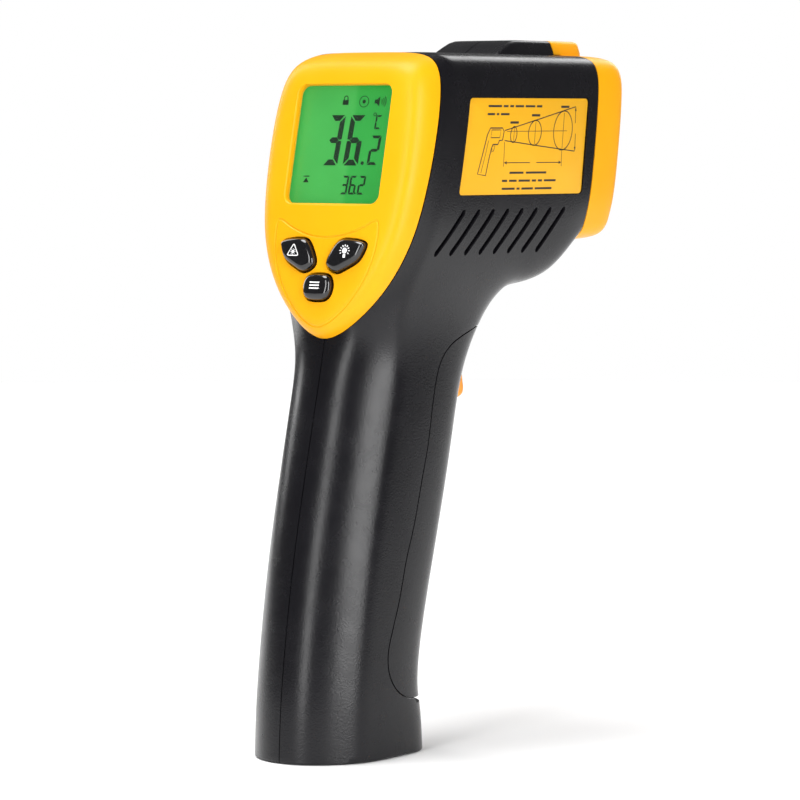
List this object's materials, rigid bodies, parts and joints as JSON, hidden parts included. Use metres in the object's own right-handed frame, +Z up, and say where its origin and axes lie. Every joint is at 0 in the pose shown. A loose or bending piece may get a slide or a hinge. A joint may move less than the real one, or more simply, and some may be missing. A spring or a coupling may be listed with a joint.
{
  "type": "infrared thermometer",
  "caption": "Pistol-grip infrared thermometer with a tilted display bezel, nose optics, trigger, push keys and a fold-down battery door in the grip.",
  "frame": {"origin": "middle of the bounding box at the foot's level, on the surface it stands on", "axes": "+Z up along the height, +Y out of the nose, +X to the right of a user who reads the display"},
  "size_m": [0.0416, 0.1026, 0.1512],
  "materials": {
    "housing_black": "fine spark-eroded texture",
    "cover_yellow": "satin",
    "trigger_orange": "satin",
    "key_gloss": "polished",
    "clear_window": "clear acrylic, polished",
    "lcd_green": "liquid crystal glass over a green backlight",
    "backlight_white": "milky light guide",
    "black_rubber": "matte",
    "circuit_board": "solder resist",
    "switch_black": "matte",
    "optics_black": "matte",
    "infrared_lens": "polished infrared lens",
    "zinc_steel": "zinc plated",
    "spring_steel": "drawn wire",
    "laser_brass": "turned",
    "laser_red": "red acrylic",
    "battery_jacket": "printed steel jacket",
    "wire_red": "insulation",
    "wire_black": "insulation",
    "label_film": "satin polyester film"
  },
  "bodies": {
    "handset": {"right_housing": "housing_black", "left_housing": "housing_black", "display_bezel": "cover_yellow", "nose_cap": "cover_yellow", "display_window": "clear_window", "lcd_panel": "lcd_green", "backlight_panel": "backlight_white", "zebra_strip": "black_rubber", "battery_snap": "black_rubber", "main_board": "circuit_board", "sensor_board": "circuit_board", "trigger_board": "circuit_board", "switch_laser": "switch_black", "switch_backlight": "switch_black", "switch_mode": "switch_black", "trigger_switch": "switch_black", "piezo_buzzer": "switch_black", "lens_ring": "optics_black", "lens_barrel": "optics_black", "infrared_lens": "infrared_lens", "thermopile_sensor": "zinc_steel", "trigger_pin": "zinc_steel", "door_pin": "zinc_steel", "housing_screw_1": "zinc_steel", "housing_screw_2": "zinc_steel", "housing_screw_3": "zinc_steel", "housing_screw_4": "zinc_steel", "trigger_spring": "spring_steel", "laser_module": "laser_brass", "laser_window": "laser_red", "battery": "battery_jacket", "red_lead": "wire_red", "black_lead": "wire_black", "right_label": "label_film", "left_label": "label_film"},
    "trigger_arm": {"trigger": "trigger_orange"},
    "plunger": {"trigger_plunger": "trigger_orange"},
    "laser_key": {"button_laser": "key_gloss"},
    "backlight_key": {"button_backlight": "key_gloss"},
    "mode_key": {"button_mode": "key_gloss"},
    "door": {"battery_door": "housing_black"}
  },
  "joints": [
    {"name": "trigger_pull", "type": "hinge", "parent": "handset", "child": "trigger_arm", "pos_m": [0, 0.0053, 0.1026], "axis": [-1, 0, 0], "range_deg": [0, 7.5], "stiffness_Nm_per_rad": 0.3, "springref_deg": -6.88, "deforming": ["trigger_spring"]},
    {"name": "plunger_slide", "type": "slide", "parent": "handset", "child": "plunger", "axis": [0, -1, 0], "range_m": [0, 0.0018]},
    {"name": "laser_key_press", "type": "slide", "parent": "handset", "child": "laser_key", "axis": [0, 0.9763, -0.2164], "range_m": [0, 0.0006], "stiffness_N_per_m": 900, "springref_m": -0.0003},
    {"name": "backlight_key_press", "type": "slide", "parent": "handset", "child": "backlight_key", "axis": [0, 0.9763, -0.2164], "range_m": [0, 0.0006], "stiffness_N_per_m": 900, "springref_m": -0.0003},
    {"name": "mode_key_press", "type": "slide", "parent": "handset", "child": "mode_key", "axis": [0, 0.9763, -0.2164], "range_m": [0, 0.0006], "stiffness_N_per_m": 900, "springref_m": -0.0003},
    {"name": "battery_door_open", "type": "hinge", "parent": "handset", "child": "door", "pos_m": [0, -0.0168, 0.0128], "axis": [-1, 0, 0], "range_deg": [0, 75]}
  ],
  "couplings": [
    {"joint": "plunger_slide", "follows": "trigger_pull", "m_per_rad": 0.0135}
  ]
}
